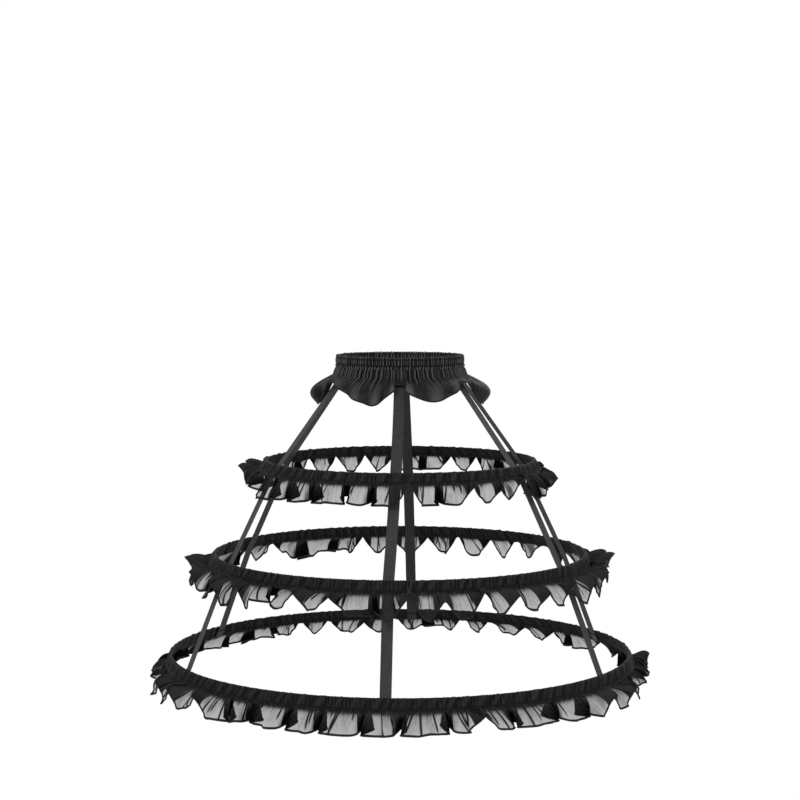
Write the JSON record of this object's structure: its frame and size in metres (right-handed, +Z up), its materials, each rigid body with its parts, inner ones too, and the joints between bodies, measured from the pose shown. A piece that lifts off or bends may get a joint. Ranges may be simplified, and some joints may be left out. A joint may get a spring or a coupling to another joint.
{
  "type": "cage skirt",
  "caption": "Open cage skirt frame: elastic waistband, ribbon straps and hoops in gathered casings, each edged with a sheer ruffle.",
  "frame": {"origin": "centre of the waist opening at the top edge of the waistband", "axes": "+Z up along the axis of the waist opening and hoops; the front is -Y; +X is the wearer's left"},
  "size_m": [0.9351, 0.9428, 0.6019],
  "materials": {
    "gathered_cloth": "matte gathered chiffon, doubled",
    "sheer_cloth": "sheer single-layer chiffon",
    "ribbon": "ribbed ribbon with a low sheen",
    "elastic": "woven elastic",
    "hoop_strip": "plastic-coated spring strip",
    "sleeve": "crimped metal sleeve"
  },
  "bodies": {
    "root": {"waist_casing": "gathered_cloth", "waist_elastic": "elastic", "waist_ruffle": "sheer_cloth", "casing_upper": "gathered_cloth", "hoop_upper": "hoop_strip", "hoop_sleeve_upper": "sleeve", "ruffle_upper": "sheer_cloth", "casing_middle": "gathered_cloth", "hoop_middle": "hoop_strip", "hoop_sleeve_middle": "sleeve", "ruffle_middle": "sheer_cloth", "casing_lower": "gathered_cloth", "hoop_lower": "hoop_strip", "hoop_sleeve_lower": "sleeve", "ruffle_lower": "sheer_cloth", "strap_front": "ribbon", "strap_front_left": "ribbon", "strap_back_left": "ribbon", "strap_back": "ribbon", "strap_back_right": "ribbon", "strap_front_right": "ribbon"}
  },
  "joints": []
}
